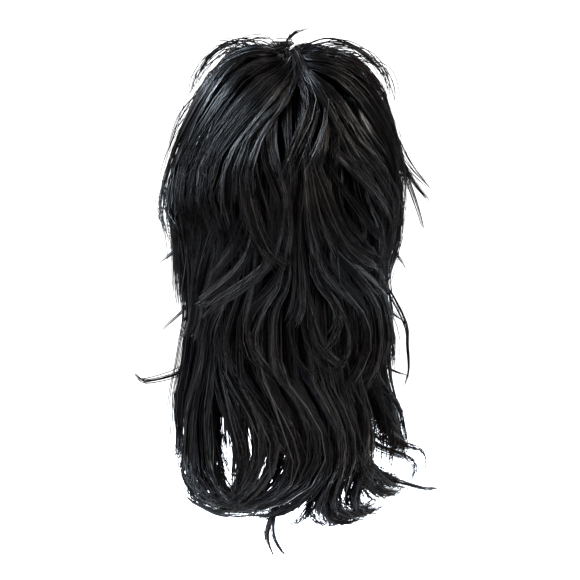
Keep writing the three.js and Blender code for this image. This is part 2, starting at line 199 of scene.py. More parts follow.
FLICKS = {
    "crown_layer": (
        Flick(12, ((74, 88), (86, 140, 2), (95, 156, 28))),
        Flick(10, ((62, 88), (77, 146, 2), (88, 166, 22))),
        Flick(9, ((82, 90), (90, 165, 1), (93, 190, 16))),
        Flick(8, ((-6, 16), (-22, 44, 11), (-50, 58, 9), (-72, 100, 4)), loose=6),
        Flick(5, ((-40, 26), (-54, 44, 7), (-70, 54, 22)), loose=3, strands=5),
        Flick(4, ((-12, 18), (10, 14, 5), (62, 9, 13)), loose=3, strands=8),
        Flick(6, ((-30, 16), (-50, 10, -9), (-85, 13, -3)), loose=3, strands=16),
        Flick(6, ((10, 16), (-40, 6, -8), (-70, 4, -2)), loose=3, strands=16),
        Flick(6, ((30, 15), (60, 9, -8), (90, 13, -3)), loose=3, strands=16),
        Flick(14, ((180, 22), (180, 6), (0, 8), (4, 30)), loose=4, strands=40),
        Flick(10, ((-90, 9, -8), (-30, 12, -6), (6, 28, -5), (-24, 52, 1)), loose=4, strands=20),
        Flick(9, ((34, 26), (50, 62, 7), (72, 98, 7)), loose=6),
        Flick(7, ((20, 20), (46, 38, 8), (70, 58, 10), (84, 84, 4)), loose=6),
        Flick(6, ((30, 24), (54, 46, 9), (78, 72, 9), (90, 98, 3)), loose=6),
        Flick(6, ((60, 30), (80, 62, 9), (92, 96, 9)), loose=6),
        Flick(7, ((-20, 20), (-46, 38, 8), (-72, 60, 9), (-84, 84, 4)), loose=6),
        Flick(6, ((-35, 24), (-62, 46, 8), (-82, 74, 7), (-90, 98, 2)), loose=6),
        Flick(6, ((-62, 60), (-80, 108, 3), (-88, 138, 5)), loose=6),
    ),
    "upper_back_layer": (
        Flick(9, ((82, 150), (86, 208), (90, 220, 8))),
        Flick(7, ((-84, 150), (-89, 208), (-92, 214, 14))),
    ),
    "middle_back_layer": (
        Flick(9, ((76, 205), (80, 258), (84, 268, 14))),
        Flick(8, ((-78, 205), (-82, 258), (-85, 273, 15))),
    ),
    "lower_back_layer": (
        Flick(10, ((82, 262), (86, 316), (90, 324, 14))),
        Flick(6, ((74, 225), (82, 262, 2), (88, 292, 8), (86, 318, 9), (78, 338, 3))),
        Flick(10, ((-70, 262), (-79, 318), (-84, 322, 22), (-88, 308, 40))),
    ),
    "nape_right": (
        Flick(11, ((54, 325), (57, 384), (66, 400, 10), (62, 424, 14))),
        Flick(10, ((64, 325), (66, 384), (74, 394, 16), (70, 422, 18))),
        Flick(11, ((46, 325), (50, 402), (62, 424, 18), (70, 424, 40))),
    ),
    "nape_center": (
        Flick(11, ((17, 325), (19, 408), (18, 440, 8), (30, 450, 8), (42, 446, 8))),
        Flick(7, ((-6, 325), (-6, 424), (-10, 456, 8), (-8, 484, 10))),
        Flick(7, ((0, 325), (-5, 424), (-6, 458, 8), (3, 488, 12))),
    ),
    "nape_left": (
        Flick(12, ((-58, 325), (-62, 396), (-57, 430, 4), (-44, 441, 7), (-28, 443, 9),
                   (-9, 435, 9))),
    ),
}
FLICK_POINTS = 13

# Paths of locks as they show in the photo, in its pixels, from the left side of each row to the right.
# A row that the photo doesn't show hangs straight.
GUIDES = {
    "crown_layer": (
        ((272, 46), (240, 58), (212, 92), (188, 135), (168, 185), (170, 222), (190, 248)),
        ((280, 52), (250, 66), (222, 100), (198, 138), (182, 172), (182, 208), (198, 240)),
        ((290, 60), (266, 80), (238, 112), (210, 150), (198, 184), (206, 215), (216, 237)),
        ((294, 66), (272, 98), (246, 128), (224, 160), (217, 195), (225, 224), (238, 238)),
        ((296, 70), (280, 104), (258, 126), (243, 150), (236, 180), (240, 205)),
        ((303, 72), (322, 90), (329, 108), (325, 130), (318, 150), (300, 182)),
        ((304, 70), (326, 110), (343, 138), (364, 165), (380, 190)),
        ((304, 66), (334, 97), (350, 125), (370, 152), (388, 182)),
        ((300, 58), (330, 70), (352, 86), (374, 115), (390, 145), (398, 178), (396, 205)),
        ((298, 50), (330, 52), (362, 66), (386, 102), (400, 140), (405, 180), (402, 212)),
    ),
    "upper_back_layer": (
        ((190, 150), (172, 190), (174, 235), (182, 280)),
        ((215, 150), (200, 190), (196, 230), (190, 270)),
        ((240, 140), (226, 175), (218, 210), (226, 240), (222, 270)),
        ((254, 142), (243, 169), (244, 192), (255, 230), (274, 261), (298, 273)),
        ((262, 142), (266, 161), (281, 188), (293, 223), (294, 246), (288, 268)),
        ((285, 140), (288, 175), (284, 210), (276, 240), (270, 262)),
        ((306, 150), (308, 180), (309, 205), (311, 235), (318, 265)),
        ((308, 150), (322, 200), (339, 238), (360, 258), (384, 272)),
        ((324, 142), (341, 162), (364, 183), (384, 208), (396, 232)),
        ((345, 130), (366, 152), (388, 182), (400, 210), (398, 236)),
        ((370, 120), (390, 150), (402, 185), (400, 215), (392, 250)),
    ),
    "middle_back_layer": (
        ((185, 205), (178, 245), (182, 290), (186, 320)),
        ((212, 210), (200, 245), (192, 280), (188, 312)),
        ((245, 215), (238, 246), (222, 268), (205, 290)),
        ((253, 235), (247, 265), (230, 286), (192, 312)),
        ((274, 240), (272, 266), (247, 290), (216, 305), (196, 322)),
        ((286, 245), (285, 272), (274, 292), (255, 314), (246, 337)),
        ((300, 245), (303, 286), (302, 310), (292, 335)),
        ((312, 235), (318, 267), (333, 288), (356, 312)),
        ((322, 230), (341, 255), (366, 277), (390, 300)),
        ((340, 215), (356, 240), (374, 262), (392, 285), (396, 305)),
        ((375, 200), (386, 230), (388, 262), (384, 295)),
        ((396, 190), (396, 225), (388, 260), (386, 300)),
    ),
    "lower_back_layer": (
        ((184, 260), (182, 300), (184, 330), (176, 345)),
        ((205, 270), (196, 305), (192, 330), (186, 352)),
        ((232, 275), (216, 305), (202, 335), (207, 365)),
        ((255, 280), (250, 312), (247, 335), (262, 362), (286, 385)),
        ((282, 280), (262, 314), (250, 345), (262, 375)),
        ((290, 290), (273, 320), (270, 347), (275, 378), (296, 396)),
        ((300, 285), (309, 310), (316, 341), (334, 365), (350, 368), (360, 348)),
        ((316, 280), (338, 311), (343, 329), (330, 348), (318, 360)),
        ((322, 285), (345, 318), (354, 340), (350, 358), (340, 369)),
        ((340, 280), (366, 312), (372, 340), (358, 372), (338, 398)),
        ((368, 280), (386, 310), (388, 340), (382, 372), (362, 395)),
        ((385, 270), (390, 303), (396, 335), (388, 368)),
        ((392, 270), (394, 310), (400, 345), (396, 376)),
    ),
    "nape_left": (
        ((190, 360), (181, 410), (180, 455), (186, 485), (202, 504), (224, 510), (252, 506), (274, 497)),
        ((196, 360), (190, 405), (190, 450), (198, 482), (214, 500), (238, 503), (262, 494)),
        ((205, 360), (204, 395), (206, 440), (214, 475), (226, 498), (244, 506), (268, 500)),
        ((212, 368), (224, 400), (236, 436), (242, 466), (236, 492), (222, 507)),
        ((220, 372), (240, 396), (256, 418), (262, 445), (256, 475), (240, 500), (220, 508)),
        ((226, 372), (250, 400), (272, 428), (298, 449), (324, 456)),
    ),
    "nape_center": (
        ((236, 375), (256, 405), (272, 435), (274, 462), (260, 488), (238, 505), (214, 508)),
        ((262, 375), (280, 410), (294, 445), (296, 470), (280, 492), (252, 507), (224, 510)),
        ((276, 375), (298, 400), (315, 428), (318, 458), (304, 482), (278, 501), (246, 511), (224, 509)),
        ((296, 385), (314, 412), (328, 440), (330, 462), (318, 482), (298, 502), (270, 515), (240, 513)),
        ((318, 385), (334, 412), (346, 440), (344, 468), (330, 488), (322, 504), (328, 517), (346, 519),
         (368, 511)),
        ((334, 380), (348, 412), (356, 445), (350, 470), (338, 490), (336, 506), (346, 517), (366, 515),
         (388, 500)),
    ),
    "nape_right": (
        ((338, 380), (347, 410), (356, 440), (358, 465), (372, 485), (395, 494), (425, 490), (445, 494)),
        ((350, 385), (358, 415), (364, 445), (376, 470), (396, 486), (420, 488), (440, 487)),
        ((358, 380), (364, 415), (366, 445), (360, 472), (366, 492), (384, 500)),
        ((366, 380), (372, 412), (374, 440), (368, 468), (356, 490)),
        ((382, 375), (394, 394), (408, 410), (412, 432), (404, 456), (386, 470)),
        ((386, 365), (386, 400), (392, 432), (412, 441), (420, 455), (412, 470)),
    ),
}

# The steps that a guide is read in, and the guides of a row that hangs straight
GUIDE_STEPS = 40
STRAIGHT_GUIDES = 6

# A drawn guide that starts further than this below its weft is led up to it, in mm
ROOT_ROOM = 15.0

# The width of a degree round the head, and the nearest that a strand comes to the crown's middle, in mm
DEGREE_WIDTH = 2.0
FIRST_RUN = 1.0

# Keeps a division by nothing from failing
TINY = 1e-12

# Where the chances of the first row start, with one more for each row after it
FIRST_SEED = 377


def smooth(low: float, high: float, x: Array) -> Array:
    """Goes from 0 at low to 1 at high, with no kink at either end."""
    t = np.clip((x - low) / (high - low), 0.0, 1.0)
    return t * t * (3 - 2 * t)


def curve(x: Array, y: Array, at: Array) -> Array:
    """Runs a smooth curve through points, with slopes taken between the neighbours of each.

    Args:
        x: Where the points are, rising.
        y: Their values, one row a point.
        at: Where the curve is read.

    Returns:
        One row of values for each place.
    """
    after = np.minimum(np.arange(len(x)) + 1, len(x) - 1)
    before = np.maximum(np.arange(len(x)) - 1, 0)
    slope = (y[after] - y[before]) / (x[after] - x[before])[:, None]
    i = np.clip(np.searchsorted(x, at, side="right") - 1, 0, len(x) - 2)
    span = (x[i + 1] - x[i])[:, None]
    t = np.clip((at - x[i])[:, None] / span, 0.0, 1.0)
    leave = slope[i] * span
    arrive = slope[i + 1] * span
    rise = y[i + 1] - y[i]
    return y[i] + t * (leave + t * (3 * rise - 2 * leave - arrive + t * (leave + arrive - 2 * rise)))


def unit(vectors: Array) -> Array:
    """Gives vectors the length 1."""
    return vectors / (np.linalg.norm(vectors, axis=-1, keepdims=True) + TINY)


def through(spots: Array, share: Array) -> Array:
    """Runs a smooth curve through the places of each strand.

    Args:
        spots: Points by strand and place.
        share: Where along each strand its curve is read, from 0 to 1.

    Returns:
        Points by strand and share.
    """
    before = 2 * spots[:, :1] - spots[:, 1:2]
    after = 2 * spots[:, -1:] - spots[:, -2:-1]
    padded = np.concatenate([before, spots, after], axis=1)
    at = share * (spots.shape[1] - 1)
    first = np.minimum(at.astype(int), spots.shape[1] - 2)
    t = (at - first)[..., None]
    strand = np.arange(len(spots))[:, None]
    a, b, c, d = (padded[strand, first + step] for step in range(4))
    bend = 2 * a - 5 * b + 4 * c - d
    twist = 3 * b - a - 3 * c + d
    return 0.5 * (2 * b + t * (c - a) + t * t * bend + t ** 3 * twist)


class HairSpace:
    """Turns hair coordinates into points, over the same head and outline as the solids."""

    def __init__(self) -> None:
        """Works out the inner and outer form for every millimetre of run."""
        downs = np.arange(0.0, NAPE_DEG + HEAD_STEP_DEG / 2, HEAD_STEP_DEG)
        self.runs = np.arange(0.0, LAST_RUN + 1.0)
        self.inner = self._table([*(self.head_ring(down) for down in downs), *NECK])
        self.outer = self._table(OUTLINE)

    @staticmethod
    def head_ring(down: float, grown: float = CAP_WALL + SEAT_GAP) -> Ring:
        """Gives the head's own ring.

        Args:
            down: Degrees down from the crown.
            grown: What is added to the head on every side, in mm.

        Returns:
            The ring at that height.
        """
        turn = math.radians(down)
        breadth = (HEAD_BREADTH + grown) * math.sin(turn)
        length = (HEAD_LENGTH + grown) * math.sin(turn)
        z = (HEAD_HEIGHT + grown) * math.cos(turn) - HEAD_HEIGHT
        return Ring(HEAD_LENGTH * turn, z, breadth, breadth, length, length)

    def _table(self, rings: Sequence[Ring]) -> Array:
        """Runs a smooth curve through rings.

        Args:
            rings: The form's levels, from the crown down.

        Returns:
            A row of height and reaches for every millimetre of run.
        """
        x = np.array([ring.run for ring in rings])
        y = np.array([(ring.z, ring.left, ring.right, ring.back, ring.front) for ring in rings])
        return curve(x, y, self.runs)

    def _on(self, table: Array, run: Array, sine: Array, cosine: Array) -> Array:
        """Gives points on one of the two forms.

        Args:
            table: The form's table.
            run: Where along the hair.
            sine: Sine of the angle round from the back.
            cosine: Its cosine.

        Returns:
            The points, in mm.
        """
        z, left, right, back, front = (np.interp(run, self.runs, table[:, i]) for i in range(5))
        x = np.where(sine > 0, right, left) * sine
        y = -np.where(cosine > 0, back, front) * cosine
        return np.stack([x, y, z], axis=-1)

    def place(self, angle: Array, run: Array, depth: Array, lift: Array) -> Array:
        """Turns hair coordinates into points.

        Args:
            angle: Degrees round from the middle of the back.
            run: Millimetres along the hair from the crown.
            depth: 0 on the cap or the neck, 1 on the outline.
            lift: Millimetres off the outline.

        Returns:
            The points, in metres.
        """
        angle, run, depth, lift = np.broadcast_arrays(angle, run, depth, lift)
        sine = np.sin(np.radians(angle))
        cosine = np.cos(np.radians(angle))
        inner = self._on(self.inner, run, sine, cosine)
        whole = self._on(self.outer, run, sine, cosine) - inner
        return (inner + whole * depth[..., None] + unit(whole) * lift[..., None]) * MM

    def band(self, row: Row, run: Array) -> tuple[Array, Array]:
        """Shares the hair's depth among the rows of a stack.

        Args:
            row: The row asked about.
            run: Where along the hair.

        Returns:
            The inner and the outer depth of the row there.
        """
        levels = {}
        for other in ROWS:
            if other.stack is row.stack:
                started = smooth(other.root - STACK_RISE[0], other.root + STACK_RISE[1], run)
                ended = smooth(other.long, other.long + STACK_FALL, run)
                levels[other.root] = started * (1 - ended)
        total = sum(levels.values()) + TINY
        below = sum((weight for root, weight in levels.items() if root > row.root), np.zeros_like(run))
        return below / total, (below + levels[row.root]) / total


SPACE = HairSpace()


@dataclass(frozen=True)
class View:
    """The photo's view, in metres and degrees, which turns its pixels into places on the hair.

    The search for a pixel's place starts from the hair's crown and half width in pixels. Each round
    reads slopes over a small step and goes a part of the way, within the angle and run that show.
    """

    target: Triple = (0.004, 0.0, -0.224)
    distance: float = 1.8
    elevation: float = 6.0
    frame_width: float = 0.58
    pixels: int = 580
    most_angle: float = 87.0
    least_run: float = 30.0
    crown: float = 60.0
    half_width: float = 121.8
    most_sine: float = 0.95
    rounds: int = 60
    step: float = 0.5
    damping: float = 0.05
    stride: float = 0.6

    def axes(self) -> tuple[Array, Array]:
        """Works out how the view is turned.

        Returns:
            The directions into the picture and up it.
        """
        tilt = math.radians(self.elevation)
        into = np.array((0.0, math.cos(tilt), -math.sin(tilt)))
        up = np.array((0.0, math.sin(tilt), math.cos(tilt)))
        return into, up

    def project(self, points: Array) -> Array:
        """Gives the pixels where points show.

        Args:
            points: Points in metres.

        Returns:
            Their pixels across and down.
        """
        into, up = self.axes()
        away = points - np.array(self.target)
        scale = self.pixels / self.frame_width * self.distance / (self.distance + away @ into)
        middle = self.pixels / 2
        return np.stack([middle + away[:, 0] * scale, middle - away @ up * scale], axis=-1)

    def seen(self, angle: Array, run: Array) -> Array:
        """Gives the pixels where places on the outline show."""
        return self.project(SPACE.place(angle, run, 1.0, 0.0))

    def onto_hair(self, pixels: Array) -> Array:
        """Finds the places on the outline that show at pixels.

        Args:
            pixels: Pixels across and down.

        Returns:
            The angle and the run of each.
        """
        sine = (pixels[:, 0] - self.pixels / 2) / self.half_width
        angle = np.degrees(np.arcsin(np.clip(sine, -self.most_sine, self.most_sine)))
        run = np.maximum(pixels[:, 1] - self.crown, self.least_run)
        for _ in range(self.rounds):
            here = self.seen(angle, run)
            turned = self.seen(angle + self.step, run) - here
            lowered = self.seen(angle, run + self.step) - here
            slope = np.stack([turned, lowered], axis=-1) / self.step
            square = np.einsum("nki,nkj->nij", slope, slope) + self.damping * np.eye(2)
            pull = np.einsum("nki,nk->ni", slope, pixels - here)
            move = self.stride * np.linalg.solve(square, pull[..., None])[..., 0]
            angle = np.clip(angle + move[:, 0], -self.most_angle, self.most_angle)
            run = np.clip(run + move[:, 1], self.least_run, LAST_RUN - 1)
        return np.stack([angle, run], axis=-1)


VIEW = View()


@dataclass
class Strands:
    """Many strands with the same number of points, and the size and tint of each."""

    points: Array
    radius: Array
    tint: Array
    level: Array
    shade: Array

    SIDES = 3
    FIRST_CORNER = 0.25
    WIDER = 1.5
    TAPER_AT = (0.0, 0.12, 0.55, 0.85, 1.0)
    TAPER = (0.7, 1.0, 1.0, 0.75, 0.25)

    def rings(self) -> Array:
        """Lays a ring round every point, wider across the head than out from it.

        Returns:
            Corners by strand, ring and side, in metres.
        """
        centre = np.zeros_like(self.points)
        centre[..., 2] = np.minimum(self.points[..., 2], -HEAD_HEIGHT * MM)
        tangent = unit(np.gradient(self.points, axis=1))
        side = unit(np.cross(tangent, self.points - centre))
        face = np.cross(side, tangent)
        share = np.linspace(0, 1, self.points.shape[1])
        half = self.radius[:, None] * np.interp(share, self.TAPER_AT, self.TAPER)
        turns = TURN * (np.arange(self.SIDES) / self.SIDES + self.FIRST_CORNER)
        across = half[..., None, None] * np.cos(turns)[:, None] * self.WIDER
        proud = half[..., None, None] * np.sin(turns)[:, None]
        return self.points[:, :, None] + side[:, :, None] * across + face[:, :, None] * proud

    def arrays(self) -> tuple[Array, Array, Array, Array]:
        """Works out what a mesh of all the strands is made of.

        Returns:
            The corners, the quads, the end triangles, and each corner's places in the two maps.
        """
        count, steps = self.points.shape[:2]
        corners = self.rings().reshape(-1, 3)
        ring = np.arange(self.SIDES)
        after = (ring + 1) % self.SIDES
        along = np.arange(steps - 1)[:, None] * self.SIDES
        below = along + self.SIDES
        quads = np.stack([along + ring, below + ring, below + after, along + after], axis=-1)
        last = (steps - 1) * self.SIDES
        ends = np.array([ring, last + ring[::-1]])
        first = (np.arange(count) * steps * self.SIDES)[:, None, None]
        quads = (first + quads.reshape(1, -1, 4)).reshape(-1, 4)
        ends = (first + ends[None]).reshape(-1, self.SIDES)
        places = np.empty((count, steps, self.SIDES, 4))
        places[..., 0] = self.tint[:, None, None]
        places[..., 1] = np.linspace(0, 1, steps)[None, :, None]
        places[..., 2] = self.level[:, None, None]
        places[..., 3] = self.shade[:, None, None]
        return corners, quads, ends, places.reshape(-1, 4)


def add_object(name: str, data: bpy.types.ID) -> Object:
    """Puts a new object of a mesh, light or camera into the scene."""
    made = bpy.data.objects.new(name, data)
    bpy.context.collection.objects.link(made)
    return made


def smooth_object(name: str, bm: bmesh.types.BMesh, finish: Material) -> Object:
    """Makes a smooth object of a form, and frees the form.

    Args:
        name: The object's name.
        bm: The form.
        finish: Its material.

    Returns:
        The object, in the scene.
    """
    mesh = bpy.data.meshes.new(name)
    bm.to_mesh(mesh)
    bm.free()
    mesh.shade_smooth()
    mesh.materials.append(finish)
    return add_object(name, mesh)


def strand_object(name: str, batches: Iterable[Strands]) -> Object:
    """Joins batches of strands into one mesh.

    Args:
        name: The piece's name.
        batches: The strands.

    Returns:
        The new object, in the scene.
    """
    corners, quads, ends, places = zip(*(batch.arrays() for batch in batches))
    bases = np.cumsum([0, *(len(points) for points in corners)])
    corners = np.concatenate(corners)
    quads = np.concatenate([faces + base for faces, base in zip(quads, bases)])
    ends = np.concatenate([faces + base for faces, base in zip(ends, bases)])
    loops = np.concatenate([quads.ravel(), ends.ravel()]).astype(np.int32)
    quad_starts = np.arange(len(quads)) * quads.shape[1]
    end_starts = quads.size + np.arange(len(ends)) * ends.shape[1]
    starts = np.concatenate([quad_starts, end_starts]).astype(np.int32)
    mesh = bpy.data.meshes.new(name)
    mesh.vertices.add(len(corners))
    mesh.vertices.foreach_set("co", corners.astype(np.float32).ravel())
    mesh.loops.add(len(loops))
    mesh.loops.foreach_set("vertex_index", loops)
    mesh.polygons.add(len(starts))
    mesh.polygons.foreach_set("loop_start", starts)
    texture = np.concatenate(places)[loops].astype(np.float32)
    for title, columns in (("strand", texture[:, :2]), ("wisp", texture[:, 2:])):
        layer = mesh.uv_layers.new(name=title)
        layer.data.foreach_set("uv", columns.ravel())
    mesh.update(calc_edges=True)
    mesh.shade_smooth()
    return add_object(name, mesh)


class Value:
    """A shader socket that takes part in Python expressions."""

    def __init__(self, graph: "Graph", socket: bpy.types.NodeSocket) -> None:
        """Keeps the socket and the graph that its expressions grow in."""
        self.graph = graph
        self.socket = socket

    def _math(self, operation: str, first: "Value | float", second: "Value | float") -> "Value":
        """Adds one Math node."""
        return self.graph.node("ShaderNodeMath", {"operation": operation}, {0: first, 1: second})["Value"]

    def __add__(self, other: "Value | float") -> "Value":
        """Adds."""
        return self._math("ADD", self, other)

    def __mul__(self, other: "Value | float") -> "Value":
        """Multiplies."""
        return self._math("MULTIPLY", self, other)

    def __pow__(self, other: "Value | float") -> "Value":
        """Raises to a power."""
        return self._math("POWER", self, other)

    __radd__ = __add__
    __rmul__ = __mul__


class Graph:
    """One material's nodes."""

    # The Mix node's inputs for colours, by number, because their names repeat
    MIX_INPUTS = (0, 6, 7)

    def __init__(self, name: str) -> None:
        """Starts a material with a bare Principled shader.

        Args:
            name: The material's name.
        """
        self.material = bpy.data.materials.new(name)
        self.material.use_nodes = True
        self.tree = self.material.node_tree
        self.shader = next(node for node in self.tree.nodes if node.type == "BSDF_PRINCIPLED")

    def feed(self, node: bpy.types.Node, inputs: dict) -> None:
        """Sets or links a node's inputs.

        Args:
            node: The node.
            inputs: Input names or numbers, with a number, a tuple or a Value for each.
        """
        for name, what in inputs.items():
            if isinstance(what, Value):
                self.tree.links.new(what.socket, node.inputs[name])
            else:
                node.inputs[name].default_value = what

    def node(self, kind: str, settings: dict | None = None, inputs: dict | None = None) -> dict[str, Value]:
        """Adds a node.

        Args:
            kind: The node's type.
            settings: Attributes to set on it.
            inputs: Values or links of its sockets.

        Returns:
            Its enabled outputs by name.
        """
        made = self.tree.nodes.new(kind)
        for name, what in (settings or {}).items():
            setattr(made, name, what)
        self.feed(made, inputs or {})
        return {socket.name: Value(self, socket) for socket in made.outputs if socket.enabled}

    def mix(self, factor: Value, first: tuple | Value, second: tuple | Value) -> Value:
        """Mixes two colours, 0 for the first and 1 for the second."""
        inputs = dict(zip(self.MIX_INPUTS, (factor, first, second)))
        return self.node("ShaderNodeMix", {"data_type": "RGBA"}, inputs)["Result"]

    def step(self, value: Value, span: Span, least: float = 0.0) -> Value:
        """Goes smoothly from least to 1 as a value goes through a span."""
        inputs = {"Value": value, "From Min": span[0], "From Max": span[1], "To Min": least}
        return self.node("ShaderNodeMapRange", {"interpolation_type": "SMOOTHSTEP"}, inputs)["Result"]

    def columns(self, title: str) -> tuple[Value, Value]:
        """Reads one of the strands' maps.

        Args:
            title: The map's name.

        Returns:
            Its two columns.
        """
        place = self.node("ShaderNodeUVMap", {"uv_map": title})["UV"]
        parts = self.node("ShaderNodeSeparateXYZ", None, {"Vector": place})
        return parts["X"], parts["Y"]


@dataclass(frozen=True)
class HairFinish:
    """Glossy synthetic fibre: black, with brown and cool strands among it, and a duller tip.

    Spans are where a look starts and ends: of the strands' tints for the two colours, and of a
    strand's length for the sheen that grows from its root. Streaks are scaled by tint and by length.
    Strands deep in their row are darkened towards deep and get a weaker coat, as painted shade.
    """

    black: Colour = (0.001, 0.001, 0.0011, 1)
    # deep is a painted shade: the near-black that strands deep in their row are darkened towards
    deep: Colour = (0.0002, 0.0002, 0.0002, 1)
    brown: Colour = (0.008, 0.0045, 0.0031, 1)
    cool: Colour = (0.0032, 0.0036, 0.0056, 1)
    brown_span: Span = (0.72, 0.98)
    cool_span: Span = (0.35, 0.05)
    root_span: Span = (0.0, 0.35)
    root_sheen: float = 0.1
    streak_scale: Span = (900.0, 7.0)
    streak_detail: float = 2.0
    streak_brown: float = 0.35
    gloss: float = 0.30
    dull: float = 0.46
    dull_streaks: float = 0.6
    dull_tips: float = 0.4
    specular: float = 0.0
    refraction: float = 1.55
    sheen_least: float = 0.06
    sheen: float = 0.88
    sheen_power: float = 3.0
    sheen_rough: float = 0.3

    def material(self) -> Material:
        """Makes the material, which reads each strand's looks from its two maps."""
        graph = Graph("hair_fibre")
        tint, share = graph.columns("strand")
        level, shade = graph.columns("wisp")
        across, along = self.streak_scale
        streak = graph.node("ShaderNodeCombineXYZ", None, {"X": tint * across, "Y": share * along})["Vector"]
        noise = graph.node("ShaderNodeTexNoise", {"noise_dimensions": "2D"},
                           {"Vector": streak, "Scale": 1.0, "Detail": self.streak_detail})["Fac"]
        colour = graph.mix(graph.step(tint, self.cool_span), self.black, self.cool)
        colour = graph.mix(graph.step(tint, self.brown_span), colour, self.brown)
        colour = graph.mix(noise * self.streak_brown * share, colour, self.brown)
        # Painted shade: strands deep in their row are darkened towards deep by their level
        colour = graph.mix(level, self.deep, colour)
        bright = graph.step(share, self.root_span, self.root_sheen)
        # Painted shade: the coat also weakens with the square of a strand's level, so deep strands shine
        # less
        sheen = self.sheen_least + self.sheen * level * level * shade ** self.sheen_power * bright
        worn = noise * self.dull_streaks + share * share * self.dull_tips
        graph.feed(graph.shader, {
            "Base Color": colour, "Roughness": self.gloss + (self.dull - self.gloss) * worn,
            "Specular IOR Level": self.specular, "IOR": self.refraction,
            "Coat Weight": sheen, "Coat Roughness": self.sheen_rough,
        })
        return graph.material


@dataclass(frozen=True)
class NetFinish:
    """Matt stretch net: a fine mesh of dark thread, with its pitch and depth in metres."""

    thread: Colour = (0.02, 0.02, 0.022, 1)
    hole: Colour = (0.004, 0.004, 0.0045, 1)
    pitch: float = 0.0022
    depth: float = 0.0004
    strength: float = 0.8
    rough: float = 0.85
    specular: float = 0.2

    def material(self) -> Material:
        """Makes the material, with its mesh raised on Object coordinates."""
        graph = Graph("cap_net")
        where = graph.node("ShaderNodeTexCoord")["Object"]
        parts = graph.node("ShaderNodeSeparateXYZ", None, {"Vector": where})
        waves = {}
        for number, axis in enumerate("XY"):
            slant = (parts[axis] + parts["Z"]) * (TURN / self.pitch)
            waves[number] = graph.node("ShaderNodeMath", {"operation": "SINE"}, {0: slant})["Value"]
        thread = graph.node("ShaderNodeMath", {"operation": "MAXIMUM"}, waves)["Value"]
        raised = thread * 0.5 + 0.5
        relief = {"Height": raised, "Distance": self.depth, "Strength": self.strength}
        graph.feed(graph.shader, {
            "Base Color": graph.mix(raised, self.hole, self.thread),
            "Roughness": self.rough, "Specular IOR Level": self.specular,
            "Normal": graph.node("ShaderNodeBump", None, relief)["Normal"],
        })
        return graph.material


@dataclass(frozen=True)
class PaleFinish:
    """The plain pale paint of the floor and the wall behind."""

    colour: Colour = (0.93, 0.93, 0.93, 1)
    rough: float = 0.9
    specular: float = 0.1

    def material(self) -> Material:
        """Makes the material."""
        graph = Graph("pale_sweep")
        looks = {"Base Color": self.colour, "Roughness": self.rough, "Specular IOR Level": self.specular}
        graph.feed(graph.shader, looks)
        return graph.material


@dataclass(frozen=True)
class WispKind:
    """A kind of wisp: spans of its level in the row, its length and shade, and shares of other values."""

    level: Span
    length: Span
    shade: Span
    wave: float = 1.0
    veer: float = 1.0
    half: float = 1.0


LOOSE = WispKind(level=(0.05, 0.95), length=(0.9, 1.0), shade=(0.0, 0.65))
LOCK = WispKind(level=(0.8, 1.0), length=(0.94, 1.0), shade=(0.2, 1.0), wave=0.3, veer=0.5, half=0.45)


@dataclass(frozen=True)
class Fall:
    """How the hair of every row falls, with lengths in mm, and pairs for spans."""

    # Locks on a drawn guide, strands in each, and their scatter in guides
    locks: int = 5
    lock_strands: int = 12
    lock_scatter: float = 0.16

    # Drawing in to guides: by level, along a wisp, and at a row's ends
    clump_levels: Span = (0.2, 0.6)
    clump_along: Span = (0.35, 0.9)
    edge_clump: float = 0.8

    # Bends, and the veer towards the tips
    wave_spread: float = 0.8
    wave_most: float = 1.4
    wave_along: Span = (0.1, 0.6)
    bends: Span = (0.7, 1.4)
    bend_length: float = 150.0
    veer: float = 4.0
    veer_most: float = 2.0
    veer_power: float = 1.5

    # How tips rise: locks, loose wisps by mean and spread, and from where
    lock_lift: Span = (0.0, 1.2)
    loose_lift: Span = (0.2, 1.0)
    lift_along: Span = (0.3, 1.0)

    # Widths, and how strands gather towards the tip
    widths: Span = (0.6, 1.4)
    gather: float = 0.9
    gather_deep: float = 0.4
    gather_power: float = 1.2

    # How much shorter deep wisps are, and the shade that wisps are evened to
    deep_levels: Span = (0.15, 0.55)
    deep_trim: float = 0.22
    even_shade: float = 0.65

    # How early a wisp's outer strands end, and how strands sway and cross
    point: float = 0.22
    point_power: float = 1.5
    point_span: Span = (0.3, 1.0)
    sway: float = 1.2
    sway_turns: float = 1.3
    crossing: float = 1.4

    # How strands lie in their row's depth, and where they leave the root
    lie_spread: float = 0.35
    lie_even: float = 0.5
    lie_least: float = 0.05
    bulge: float = 0.65
    rise_along: Span = (0.0, 0.2)

    # The share of strays, and how they arch up
    strays: float = 0.07
    stray_lift: Span = (2.0, 10.0)
    stray_arch: float = 0.8

    # Tint from shade and from chance, the spread of gloss, and the radius
    tint_parts: Span = (0.55, 0.45)
    gloss_spread: float = 0.15
    radius: Span = (0.34, 0.56)

    # Locks that leave the outline
    flick_width: float = 0.45
    flick_scatter: float = 0.5
    flick_taper: float = 0.85
    flick_power: float = 1.5
    flick_starts: Span = (0.0, 0.25)
    flick_ends: Span = (0.82, 1.0)
    flick_lift: float = 0.3
    flick_shade: Span = (0.0, 0.7)


@dataclass
class Wisps:
    """The wisps of a row: the line of each in steps of angle and run, and values that its strands share."""

    lines: Array
    strands: Array
    level: Array
    wave: Array
    bends: Array
    veer: Array
    phase: Array
    lift: Array
    half: Array
    length: Array
    shade: Array

    def owners(self) -> Array:
        """Gives the number of every strand's wisp, as a column."""
        return np.repeat(np.arange(len(self.strands)), self.strands)[:, None]


